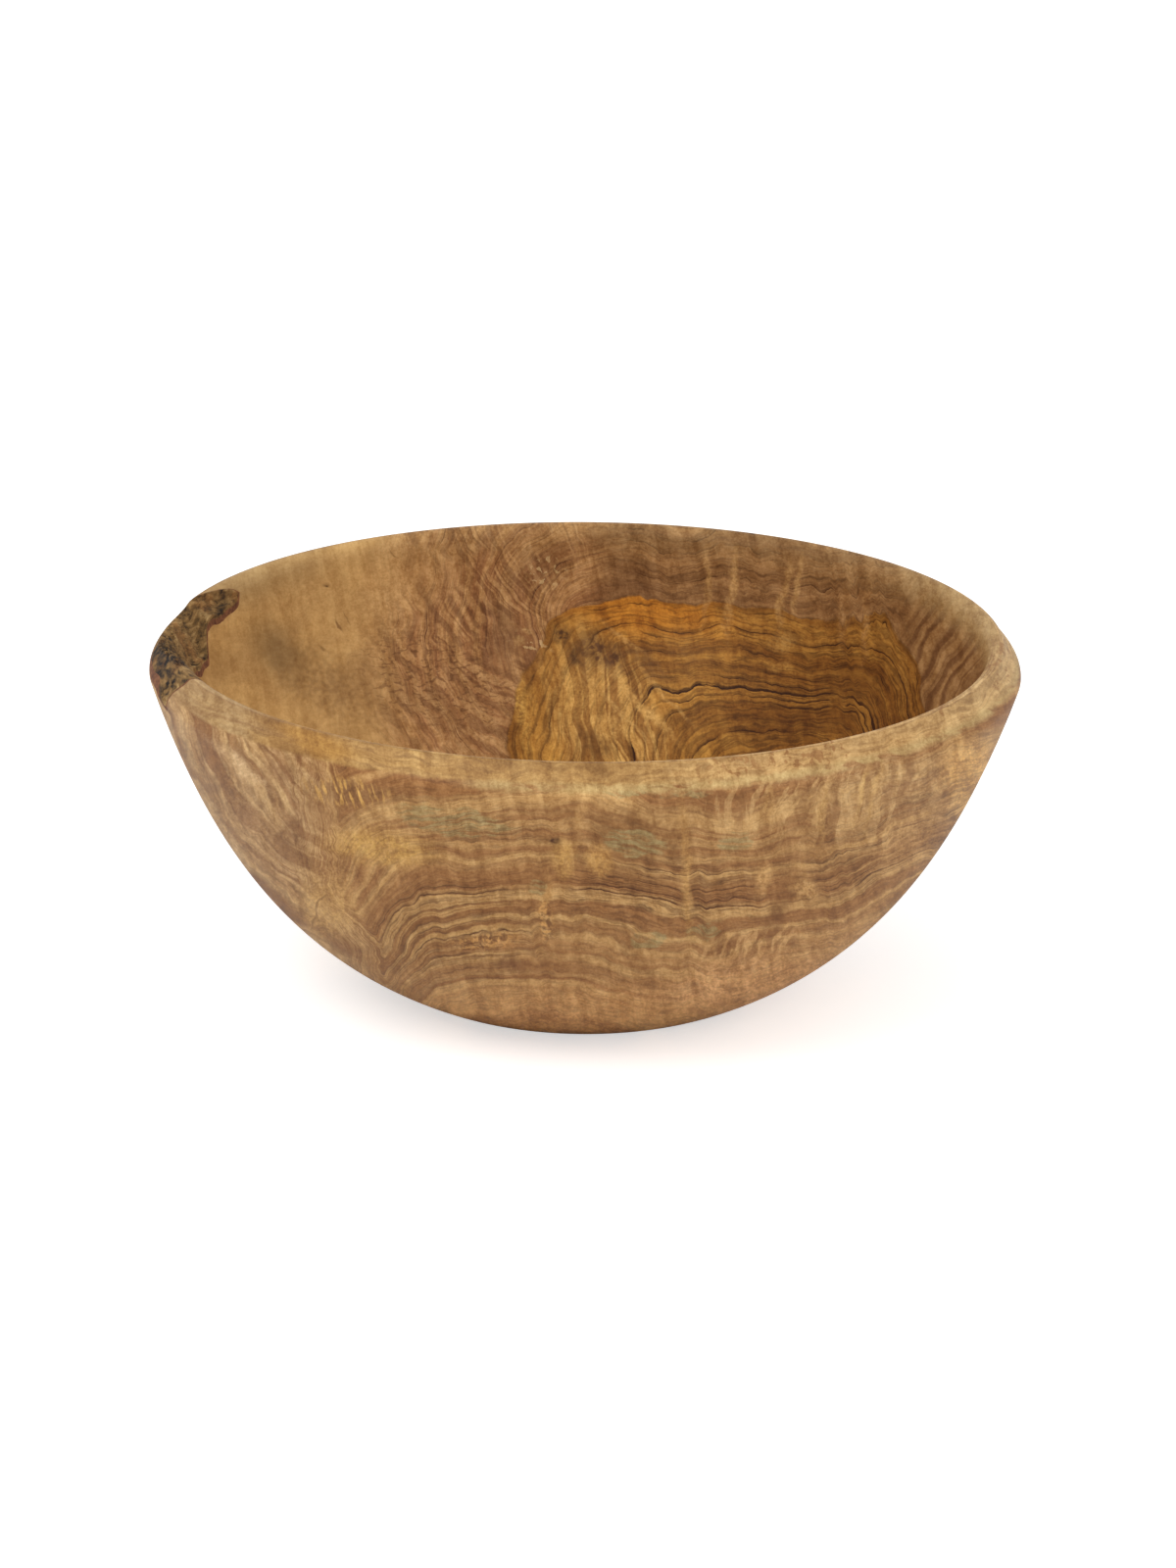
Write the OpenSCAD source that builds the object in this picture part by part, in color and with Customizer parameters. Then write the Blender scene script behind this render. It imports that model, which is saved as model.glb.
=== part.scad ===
// Turned olive-wood serving bowl with a patch of natural bark left in the rim.
// Millimetres, +Z up, origin at the middle of the flat foot. Angles run
// counter-clockwise from +X, so 180 is the left side seen from the front (-Y).

/* [Bowl] */
// Diameter over the widest point, just under the rim
bowl_d = 300; // [270:1:340]
// Height from the foot to the crown of the rim
bowl_h = 125; // [112:1:145]
// Diameter of the flat foot that the bowl rests on
foot_d = 124; // [100:1:140]
// Thickness of the wood under the cavity floor
floor_t = 15; // [9:0.5:22]

/* [Outside wall] */
// Distance from the shoulder line of the rim down to the widest point
widest_below = 3.2; // [3:0.1:9]
// Angle above the horizontal at which the wall leaves the foot
foot_flare = 24; // [12:1:38]
// Length over which the wall keeps that flare
foot_reach = 46.8; // [30:0.2:60]
// Lean from the vertical of the wall as it comes up to the widest point
wall_lean = 17.2; // [8:0.2:24]
// Length over which the wall keeps that lean
wall_reach = 63; // [45:0.5:75]
// Easing of the corner between the foot and the wall
foot_ease = 1.6; // [0.5:0.1:4]

/* [Rim] */
// Distance from the crown of the rim down to the shoulder line outside
shoulder_drop = 8; // [5:0.1:9.5]
// Reach of the rounding of the shoulder line to each side
shoulder_ease = 4.6; // [1:0.1:5.8]
// Crown of the rim inside the widest point
crown_inset = 7.5; // [5.5:0.1:9.5]
// Lip of the cavity inside the widest point
lip_inset = 12; // [11:0.1:16]
// Depth of the rounding from the crown down to the lip, where the cavity wall starts
lip_drop = 4.6; // [2:0.1:6]
// Fullness of that rounding over the lip
lip_ease = 0.5; // [0.2:0.1:1.2]

/* [Cavity] */
// Length over which the cavity floor stays nearly level from the middle
floor_reach = 88; // [60:1:105]
// Lean from the vertical of the cavity wall at the lip
cavity_lean = 3.9; // [1:0.1:8]
// Length over which the cavity wall keeps that lean
cavity_reach = 53; // [35:1:75]

/* [Bark patch outline] */
// Angle at which the bark patch starts on the cavity side, at the back
back_angle = 152.8; // [142:0.1:156]
// Angle by which it starts later on the outside of the rim
back_slant_angle = 12.8; // [4:0.1:16]
// Angle at which the bark patch ends on the cavity side, towards the front
front_angle = 206; // [204:0.1:212]
// Angle by which it ends earlier on the outside of the rim
front_slant_angle = 4.4; // [1:0.1:6]
// Angle over which the bark runs out at each end
end_run_angle = 2.4; // [1.5:0.1:4]
// Depth of the rounded back lobe below the lip, on the cavity side
lobe_depth = 6.8; // [4:0.1:11]
// Angle over which the lobe rounds down to that depth
lobe_round_angle = 7.5; // [4:0.1:9]
// Angle at which the inner outline steps down
step_angle = 164.9; // [162:0.1:167]
// Angle over which it steps down
step_run_angle = 2.8; // [2:0.1:5]
// Extra depth after the step
step_depth = 11; // [5:0.1:16]
// Angle at which the inner outline starts to climb back to the lip
climb_angle = 172; // [169:0.1:176]
// Angle of climb to the front end of the patch
climb_run_angle = 31.5; // [24:0.5:34]
// Waviness of the inner outline
outline_wave = 0.5; // [0:0.05:0.9]
// Outer outline below the crown of the rim
outer_depth = 10.6; // [8:0.1:13]
// Angle of the pointed tongue on the outside wall
tongue_angle = 199.6; // [196:0.1:200.5]
// Extra depth of the tongue
tongue_depth = 4.6; // [2:0.1:8]
// Angle over which the tongue deepens from the back
tongue_back_angle = 5.6; // [4:0.1:12]
// Angle over which it rises again to the front
tongue_front_angle = 2.6; // [2:0.1:4]

/* [Bark layers] */
// Height of the red-brown inner bark above the wood
bast_t = 2.2; // [1.2:0.1:3]
// Height of the crust above the inner bark, in the middle of the patch
crust_t = 4.2; // [3:0.1:6]
// Share of the crust height left at the turned edges
crust_edge_share = 0.35; // [0.2:0.05:0.6]
// Bulge of the old log surface between the cavity and the outside
log_bulge = 2.6; // [0.5:0.1:4]
// Height of the lumps on the crust
lump_h = 0.7; // [0:0.05:1]

/* [Hidden] */
// Straight pieces along the curves of the turned profile
wall_steps = 16;
cavity_steps = 15;
crown_steps = 4;
ease_steps = 3;
bowl_r = bowl_d / 2;
foot_r = foot_d / 2;
crown_r = bowl_r - crown_inset;
lip_r = bowl_r - lip_inset;
lip_z = bowl_h - lip_drop;
shoulder_z = bowl_h - shoulder_drop;
widest_z = shoulder_z - widest_below;
// Shares of the rim curve's reach that its control points take
slope_share = 0.42;
crown_share = 0.55;
lip_share = 0.6;
lip_fall_share = 0.45;
// Stations around the patch, and rings across the rim, of the bark surfaces
stations = 50;
rings = 9;
// Overrun of the bark surfaces past the walls and above the crown
overrun = 9;
// First ring inside the lip, where the cavity wall has already turned in
inner_ring = 1;
// Height above the crown that the bark surfaces reach at the two ends of the patch
end_over = 1.5;
// Powers of the curves that slant the back end across the rim and round the lobe
slant_power = 3;
round_power = 2.4;
// Cycles of the waves on the outline and of the lumps on the crust
wave_cycles = 9;
lump_cycles = 13;
lump_rings = 1.7;
lump_skew = 2;
// Facets of the turned surfaces where a mesh is drawn
turn_facets = 180;
half_turn = 180;
full_turn = 360;

// Point at share t along the curve of four control points
function bend(p, t) =
    pow(1 - t, 3) * p[0] + 3 * pow(1 - t, 2) * t * p[1]
    + 3 * (1 - t) * pow(t, 2) * p[2] + pow(t, 3) * p[3];
// Points along that curve, leaving out its first point
function curve(p, n) = [for (i = [1:n]) bend(p, i / n)];
// Soft step from 0 to 1 as x goes from start to start + run
function held(x) = min(1, max(0, x));
function soft(x, start, run) = let (t = held((x - start) / run)) t * t * (3 - 2 * t);

// Outside wall: leaves the foot at its flare and comes up to the widest point at its lean
wall_curve = [
    [foot_r, 0],
    [foot_r + foot_reach * cos(foot_flare), foot_reach * sin(foot_flare)],
    [bowl_r - wall_reach * sin(wall_lean), widest_z - wall_reach * cos(wall_lean)],
    [bowl_r, widest_z]];
// Foot corner, eased from the flat on to the wall
foot_curve = [
    [foot_r - foot_ease, 0], [foot_r, 0], [foot_r, 0],
    bend(wall_curve, 1 / wall_steps)];
// Shoulder: the wall runs up to the shoulder line and turns on to the slope of the rim
slope_run = [crown_r - bowl_r, bowl_h - shoulder_z];
slope_dir = slope_run / norm(slope_run);
shoulder_curve = [
    [bowl_r, widest_z],
    [bowl_r, shoulder_z - shoulder_ease / 2],
    [bowl_r, shoulder_z],
    [bowl_r, shoulder_z] + shoulder_ease * slope_dir];
// Slope of the rim, convex up to the level crown
slope_curve = [
    shoulder_curve[3],
    shoulder_curve[3] + slope_share * norm(slope_run) * slope_dir,
    [crown_r + crown_share * (bowl_r - crown_r) / 2, bowl_h],
    [crown_r, bowl_h]];
// Fall from the crown to the crisp inner lip
lip_curve = [
    [crown_r, bowl_h],
    [crown_r - lip_share * (crown_r - lip_r), bowl_h],
    [lip_r + lip_ease, lip_z + lip_ease + lip_fall_share * lip_drop],
    [lip_r, lip_z]];
// Cavity: down from the lip at its lean, then round to the level floor
cavity_curve = [
    [lip_r, lip_z],
    [lip_r - cavity_reach * sin(cavity_lean), lip_z - cavity_reach * cos(cavity_lean)],
    [floor_reach, floor_t],
    [0, floor_t]];

profile = concat(
    [[0, 0], foot_curve[0]],
    curve(foot_curve, ease_steps),
    [for (i = [2:wall_steps]) bend(wall_curve, i / wall_steps)],
    curve(shoulder_curve, ease_steps),
    curve(slope_curve, crown_steps),
    curve(lip_curve, crown_steps),
    curve(cavity_curve, cavity_steps));

// Share of the way from the cavity side to the outside, at radius r
function across(r) = held((r - lip_r) / (bowl_r - lip_r));
// Angles at which the patch starts and ends, at radius r
function start_angle(r) = back_angle + back_slant_angle * (1 - pow(1 - across(r), slant_power));
function end_angle(r) = front_angle - front_slant_angle * across(r);
// Quarter round from 0 to 1 as x goes from start to start + run
function round_down(x, start, run) =
    pow(1 - pow(1 - held((x - start) / run), round_power), 1 / round_power);
// Cycles of a wave along the patch, as an angle
function along(a, cycles) = cycles * full_turn * (a - back_angle) / (front_angle - back_angle);

// Depth below the lip of the wood's outline on the cavity side, at angle a
function inner_depth(a) =
    (lobe_depth * round_down(a, back_angle, lobe_round_angle)
    + step_depth * soft(a, step_angle, step_run_angle)) * (1 - soft(a, climb_angle, climb_run_angle))
    + outline_wave * sin(along(a, wave_cycles));
// Depth below the crown of its outline on the outside wall
function outer_drop(a) =
    outer_depth + tongue_depth * soft(a, tongue_angle - tongue_back_angle, tongue_back_angle)
    * (1 - soft(a, tongue_angle, tongue_front_angle));
// Rise of the bark out of the wood at the two ends of the patch
end_rise = max(outer_depth, lip_drop + lobe_depth) + end_over;
function run_out(a, r) =
    end_rise * (1 - soft(a, start_angle(r) - end_run_angle / 2, end_run_angle)
    + soft(a, end_angle(r) - end_run_angle / 2, end_run_angle));

// Height of the wood under the bark
function seat_z(a, r) =
    let (s = across(r))
    (lip_z - inner_depth(a)) * (1 - s) + (bowl_h - outer_drop(a)) * s
    + 4 * log_bulge * s * (1 - s) + run_out(a, r);
// Height of the top of the inner bark
function bast_z(a, r) = seat_z(a, r) + bast_t;
// Height of the top of the crust, thinner at the turned edges and lumpy between
function crust_z(a, r) =
    let (s = across(r), body = sin(half_turn * s))
    bast_z(a, r) + crust_t * (crust_edge_share + (1 - crust_edge_share) * body)
    + lump_h * body * sin(along(a, lump_cycles)) * cos(lump_rings * full_turn * s + lump_skew * a);
// The three surfaces by number: 0 wood, 1 inner bark, 2 crust
function layer_z(k, a, r) = k == 0 ? seat_z(a, r) : k == 1 ? bast_z(a, r) : crust_z(a, r);

// Angle of station i at radius r: the first and last stations follow the ends of the patch
function station_angle(i, r) =
    let (from = start_angle(r) - end_run_angle / 2, to = end_angle(r) + end_run_angle / 2)
    from + (to - from) * i / stations;
ring_from = lip_r - overrun;
ring_to = bowl_r + overrun;

// Everything above surface k inside the patch, as one closed block
module above(k) {
    n = rings + 1;
    // First and last rings stand clear of the walls; the others divide the rim evenly
    radii = concat([ring_from],
        [for (j = [0:rings - 2]) lip_r - inner_ring + (bowl_r - lip_r + inner_ring) * j / (rings - 2)],
        [ring_to]);
    top_z = bowl_h + overrun + end_rise;
    spots = [for (i = [0:stations]) for (r = radii) let (a = station_angle(i, r))
        [r * cos(a), r * sin(a), layer_z(k, a, r)]];
    points = concat(spots, [for (p = spots) [p[0], p[1], top_z]]);
    m = n * (stations + 1);
    faces = concat(
        // Underside, split along the same diagonals in every surface
        [for (i = [0:stations - 1]) for (j = [0:rings - 1]) each [
            [i * n + j, i * n + j + 1, (i + 1) * n + j + 1],
            [i * n + j, (i + 1) * n + j + 1, (i + 1) * n + j]]],
        // Top
        [for (i = [0:stations - 1]) for (j = [0:rings - 1]) each [
            [m + i * n + j, m + (i + 1) * n + j + 1, m + i * n + j + 1],
            [m + i * n + j, m + (i + 1) * n + j, m + (i + 1) * n + j + 1]]],
        // Cavity side and outside
        [for (i = [0:stations - 1]) each [
            [i * n, (i + 1) * n, m + (i + 1) * n],
            [i * n, m + (i + 1) * n, m + i * n],
            [i * n + rings, m + (i + 1) * n + rings, (i + 1) * n + rings],
            [i * n + rings, m + i * n + rings, m + (i + 1) * n + rings]]],
        // The two ends
        [for (j = [0:rings - 1]) each [
            [j, m + j, m + j + 1],
            [j, m + j + 1, j + 1],
            [stations * n + j, m + stations * n + j + 1, m + stations * n + j],
            [stations * n + j, stations * n + j + 1, m + stations * n + j + 1]]]);
    polyhedron(points, faces);
}

// The turned form, before the bark is told from the wood
module turned() {
    rotate_extrude($fn = turn_facets) polygon(profile);
}

// Wood of the bowl, with the seat of the bark patch in its rim
module bowl_body() {
    color([0.66, 0.47, 0.26])
    difference() {
        turned();
        above(0);
    }
}

// Thin red-brown layer between the wood and the crust
module inner_bark() {
    color([0.36, 0.19, 0.11])
    difference() {
        intersection() {
            turned();
            above(0);
        }
        above(1);
    }
}

// Rough crust of the old log surface
module outer_bark() {
    color([0.27, 0.21, 0.13])
    difference() {
        intersection() {
            turned();
            above(1);
        }
        above(2);
    }
}

bowl_body();
inner_bark();
outer_bark();
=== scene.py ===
import math

import bmesh
import bpy
from mathutils import Matrix, Vector, noise
from mathutils.geometry import interpolate_bezier


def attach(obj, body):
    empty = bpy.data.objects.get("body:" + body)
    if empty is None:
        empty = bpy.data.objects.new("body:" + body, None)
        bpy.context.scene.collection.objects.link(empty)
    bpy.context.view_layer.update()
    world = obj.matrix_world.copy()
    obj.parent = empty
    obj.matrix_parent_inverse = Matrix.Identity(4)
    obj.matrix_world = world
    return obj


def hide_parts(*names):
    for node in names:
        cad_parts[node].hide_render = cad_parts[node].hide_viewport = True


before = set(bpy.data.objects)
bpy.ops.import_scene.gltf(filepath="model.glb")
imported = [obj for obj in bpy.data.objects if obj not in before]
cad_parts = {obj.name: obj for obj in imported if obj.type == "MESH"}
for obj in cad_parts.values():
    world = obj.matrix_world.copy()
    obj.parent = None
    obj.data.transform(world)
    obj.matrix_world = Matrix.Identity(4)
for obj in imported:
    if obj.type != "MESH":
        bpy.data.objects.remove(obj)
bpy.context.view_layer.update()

# The turned form. One olive blank is turned to a round-bottomed bowl with a flat
# foot, a wall that swells to a shoulder line, a rounded rim and a crisp inner lip.
# The rim was sanded by hand, so its shoulder and lip wander a little.
mm = 0.001
bowl_radius, bowl_height = 150 * mm, 125 * mm
foot_radius, foot_ease, floor_height = 62 * mm, 1.6 * mm, 15 * mm
widest_height = bowl_height - 11.2 * mm
foot_flare, foot_reach = math.radians(24), 46.8 * mm
wall_lean, wall_reach = math.radians(17.2), 63 * mm
shoulder_height, shoulder_ease = bowl_height - 8 * mm, 4.6 * mm
crown_radius = bowl_radius - 7.5 * mm
lip_radius, lip_height, lip_ease = bowl_radius - 12 * mm, bowl_height - 4.6 * mm, 0.5 * mm
cavity_lean, cavity_reach, floor_reach = math.radians(3.9), 53 * mm, 88 * mm
slope_pull, crown_pull, lip_pull, lip_rise = 0.42, 0.275, 0.6, 0.45
swelling, swelling_turn, swelling_spread = 3.4 * mm, -2.3, 0.32
front_dip, side_dip, dip_depth = 1.7 * mm, 0.8 * mm, 45 * mm
turning_steps = 360


def flat(radius, height):
    """A point of the turned outline, on the +X side of the axis."""
    return Vector((radius, 0, height))


def bend(start, leave, arrive, end, steps):
    """Points along a curve after its start, leaving and arriving towards two handles."""
    return interpolate_bezier(start, leave, arrive, end, steps + 1)[1:]


foot_corner = flat(foot_radius, 0)
widest = flat(bowl_radius, widest_height)
shoulder = flat(bowl_radius, shoulder_height)
crown = flat(crown_radius, bowl_height)
lip = flat(lip_radius, lip_height)
rim_slope = (crown - shoulder).normalized()
slope_start = shoulder + shoulder_ease * rim_slope

wall = bend(
    foot_corner,
    foot_corner + foot_reach * flat(math.cos(foot_flare), math.sin(foot_flare)),
    widest - wall_reach * flat(math.sin(wall_lean), math.cos(wall_lean)),
    widest,
    48,
)
outline = [flat(0, 0), flat(foot_radius / 2, 0), flat(foot_radius - foot_ease, 0)]
outline += bend(outline[-1], foot_corner, foot_corner, wall[1], 4) + wall[2:]
outline += bend(widest, shoulder - flat(0, shoulder_ease / 2), shoulder, slope_start, 8)
outline += bend(
    slope_start,
    slope_start + slope_pull * (crown - shoulder).length * rim_slope,
    crown + flat(crown_pull * (bowl_radius - crown_radius), 0),
    crown,
    12,
)
outline += bend(
    crown,
    crown - flat(lip_pull * (crown_radius - lip_radius), 0),
    lip + flat(lip_ease, lip_ease + lip_rise * (bowl_height - lip_height)),
    lip,
    12,
)
outline += bend(
    lip,
    lip - cavity_reach * flat(math.sin(cavity_lean), math.cos(cavity_lean)),
    flat(floor_reach, floor_height),
    flat(0, floor_height),
    46,
)

form = bmesh.new()
corners = [form.verts.new(point) for point in outline]
edges = [form.edges.new(pair) for pair in zip(corners, corners[1:])]
bmesh.ops.spin(
    form, geom=corners + edges, axis=(0, 0, 1), cent=(0, 0, 0), dvec=(0, 0, 0),
    angle=math.tau, steps=turning_steps, use_merge=True,
)
bmesh.ops.remove_doubles(form, verts=form.verts, dist=0.01 * mm)
bmesh.ops.recalc_face_normals(form, faces=form.faces)


def ramp(value, low, high):
    """0 below low, 1 above high, soft between."""
    share = min(1, max(0, (value - low) / (high - low)))
    return share * share * (3 - 2 * share)


# The shoulder swells up at the left front, and the whole rim dips to the front.
for vert in form.verts:
    turn = math.atan2(vert.co.y, vert.co.x)
    if vert.co.z > widest_height and math.hypot(vert.co.x, vert.co.y) > crown_radius:
        near = ramp(vert.co.z, widest_height, shoulder_height) * (
            1 - ramp(vert.co.z, shoulder_height, bowl_height - 0.5 * mm))
        away = (turn - swelling_turn) / swelling_spread
        vert.co.z += near * swelling * math.exp(-away ** 2)
    front = 0.5 - 0.5 * math.sin(turn)
    vert.co.z -= front * (front_dip + side_dip * math.cos(turn)) * ramp(
        vert.co.z, bowl_height - dip_depth, bowl_height - 3 * mm)

turned_mesh = bpy.data.meshes.new("turned")
form.to_mesh(turned_mesh)
form.free()
bowl = bpy.data.objects.new("bowl", turned_mesh)
bpy.context.collection.objects.link(bowl)


# The old log surface. Where the blank reached the outside of the log, the rim kept
# its bark: the wood drops away to a seat, and two layers of bark fill it. Each layer
# ends at a height that depends on the angle round the bowl and on the radius.
back_end, back_slant = 152.8, 12.8
front_end, front_slant = 206, 4.4
end_run, end_rise = 2.4, 12.9 * mm
bast_thickness, crust_thickness = 2.2 * mm, 4.2 * mm
lobe_depth, lobe_run, lobe_round = 6.8, 7.5, 2.4
step_depth, step_start, step_end = 11, 164.9, 167.7
climb_start, climb_end = 172, 203.5
ripple_depth, ripples, knobble = 0.5, 9, 0.35
outer_drop, seat_swell = 10.6, 10.4 * mm
tongue_depth, tongue_start, tongue_tip, tongue_end = 4.6, 194, 199.6, 202.2
overrun = 9 * mm
seat_steps, crust_steps = (240, 40), (420, 96)


def across_rim(radius):
    """Share of the way from the cavity side to the outside."""
    return min(1, max(0, (radius - lip_radius) / (bowl_radius - lip_radius)))


def bark_ends(radius):
    """The angles between which the bark lies: its back end slants across the rim."""
    across = across_rim(radius)
    return back_end + back_slant * (1 - (1 - across) ** 3), front_end - front_slant * across


def seat_height(angle, radius):
    """Height of the wood under the bark. Angles are in degrees, depths in millimetres."""
    across = across_rim(radius)
    left = 1 - min(1, max(0, (angle - back_end) / lobe_run))
    lobe = lobe_depth * (1 - left ** lobe_round) ** (1 / lobe_round)
    lobe += step_depth * ramp(angle, step_start, step_end)
    wave = ripple_depth * math.sin(math.tau * ripples * (angle - back_end) / (front_end - back_end))
    wave += knobble * noise.noise((angle * 1.1, 0.4, 0))
    inner = lip_height - (lobe * (1 - ramp(angle, climb_start, climb_end)) + wave) * mm
    tongue = tongue_depth * ramp(angle, tongue_start, tongue_tip) * (
        1 - ramp(angle, tongue_tip, tongue_end))
    outer = bowl_height - (outer_drop + tongue) * mm
    back, front = bark_ends(radius)
    ends = 1 - ramp(angle, back - end_run / 2, back + end_run / 2) + ramp(
        angle, front - end_run / 2, front + end_run / 2)
    swell = seat_swell * across * (1 - across)
    return inner * (1 - across) + outer * across + swell + end_rise * ends


def bast_height(angle, radius):
    """Height of the top of the inner bark."""
    return seat_height(angle, radius) + bast_thickness


def fissures(angle, radius, height):
    """Relief of the crust: 1 on the flaky ridges, falling to -1 in the cracks."""
    along, out, up = math.radians(angle) * bowl_radius / mm, radius / mm, height / mm
    sway = noise.noise((along * 0.12, out * 0.12, 5.3)) * 4
    place = Vector((along * 0.16 + out * 0.06, (out + sway) * 0.3, up * 0.3))
    plates = noise.fractal(place, 0.8, 2.2, 6, noise_basis="PERLIN_ORIGINAL")
    crack = abs(noise.noise(place * 1.7 + Vector((plates, plates, 7.7))))
    return max(-1.0, min(1.0, 0.9 * plates + 2.6 * min(crack, 0.3) - 0.35))


def crust_height(angle, radius):
    """Height of the top of the crust."""
    body = math.sin(math.pi * across_rim(radius))
    height = bast_height(angle, radius) + crust_thickness * (0.35 + 0.65 * body)
    return height + (0.3 + 0.7 * body) * fissures(angle, radius, height) * mm


def block_above(height, along, across):
    """Everything above a bark surface near the patch, as one closed block."""
    block = bmesh.new()
    bmesh.ops.create_grid(block, x_segments=along, y_segments=across, size=0.5)
    for vert in block.verts:
        radius = lip_radius - overrun + (bowl_radius - lip_radius + 2 * overrun) * (vert.co.y + 0.5)
        back, front = bark_ends(radius)
        angle = back - end_run / 2 + (front - back + end_run) * (vert.co.x + 0.5)
        turn = math.radians(angle)
        vert.co = radius * math.cos(turn), radius * math.sin(turn), height(angle, radius)
    lifted = bmesh.ops.extrude_face_region(block, geom=block.faces[:])["geom"]
    for vert in lifted:
        if isinstance(vert, bmesh.types.BMVert):
            vert.co.z = bowl_height + end_rise + overrun
    bmesh.ops.recalc_face_normals(block, faces=block.faces)
    mesh = bpy.data.meshes.new("block")
    block.to_mesh(mesh)
    block.free()
    piece = bpy.data.objects.new("block", mesh)
    bpy.context.collection.objects.link(piece)
    return piece


def carve(piece, operation, block):
    """Cuts a piece with a block, or keeps only what is inside it."""
    cut = piece.modifiers.new("cut", "BOOLEAN")
    cut.operation, cut.object, cut.solver = operation, block, "MANIFOLD"
    shaped = piece.evaluated_get(bpy.context.evaluated_depsgraph_get())
    piece.data = bpy.data.meshes.new_from_object(shaped)
    piece.modifiers.clear()


inner_bark = bowl.copy()
outer_bark = bowl.copy()
for piece, name in ((inner_bark, "bark_inner"), (outer_bark, "bark_crust")):
    piece.name = name
    bpy.context.collection.objects.link(piece)
seat_block = block_above(seat_height, *seat_steps)
bast_block = block_above(bast_height, *seat_steps)
crust_block = block_above(crust_height, *crust_steps)
carve(bowl, "DIFFERENCE", seat_block)
carve(inner_bark, "INTERSECT", seat_block)
carve(inner_bark, "DIFFERENCE", bast_block)
carve(outer_bark, "INTERSECT", bast_block)
carve(outer_bark, "DIFFERENCE", crust_block)
for block in (seat_block, bast_block, crust_block):
    bpy.data.objects.remove(block)

for piece, node, slot in (
    (bowl, "bowl_body", "olive_wood"),
    (inner_bark, "inner_bark", "inner_bark"),
    (outer_bark, "outer_bark", "bark_crust"),
):
    piece.data.shade_smooth()
    piece.data.set_sharp_from_angle(angle=math.radians(32))
    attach(piece, "root")
    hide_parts(node)

# The finish of the wood. Olive wood is golden tan with dark growth lines, burls and
# curl. The log lay with its axis from front to back and tapered to the back, so its
# rings are drawn on a face across it, in millimetres right and up from its centre.
log_tilt, log_roll, log_taper = 0.3158, 0.0067, 1800
face_centre = Vector((1.245, 0, 69.5))


class Number:
    """A number that varies over a surface. Sums and products on it become Math nodes."""

    def __init__(self, finish, socket):
        self.finish, self.socket = finish, socket

    def math(self, operation, *others):
        """A Math node on this number and others."""
        values = dict(enumerate((self,) + others))
        return self.finish.node("ShaderNodeMath", {"operation": operation}, values)

    def __add__(self, other):
        return self.math("ADD", other)

    def __mul__(self, other):
        return self.math("MULTIPLY", other)

    __radd__, __rmul__ = __add__, __mul__

    def __sub__(self, other):
        return self.math("SUBTRACT", other)

    def __rsub__(self, other):
        return self * -1 + other

    def __truediv__(self, other):
        return self.math("DIVIDE", other)

    def __rtruediv__(self, other):
        return self.math("POWER", -1) * other

    def __pow__(self, other):
        return self.math("POWER", other)

    def __abs__(self):
        return self.math("ABSOLUTE")

    def rise(self, low, high):
        """0 below low, 1 above high, soft between; falls where high is the lower."""
        if high < low:
            return 1 - self.rise(high, low)
        return self.finish.node(
            "ShaderNodeMapRange", {"interpolation_type": "SMOOTHSTEP"},
            {"Value": self, "From Min": low, "From Max": high},
        )

    def hill(self, middle, width):
        """1 at a value, falling softly to 0 a width to each side."""
        return abs(self - middle).rise(width, 0)

    def larger(self, other):
        """Whichever of two numbers is the larger."""
        return self.math("MAXIMUM", other)

    def held(self, low, high):
        """Kept between two limits."""
        return self.larger(low).math("MINIMUM", high)

    def between(self, first, second):
        """The first number where this share is 0, the second where it is 1."""
        return first + self * (second - first)


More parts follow.
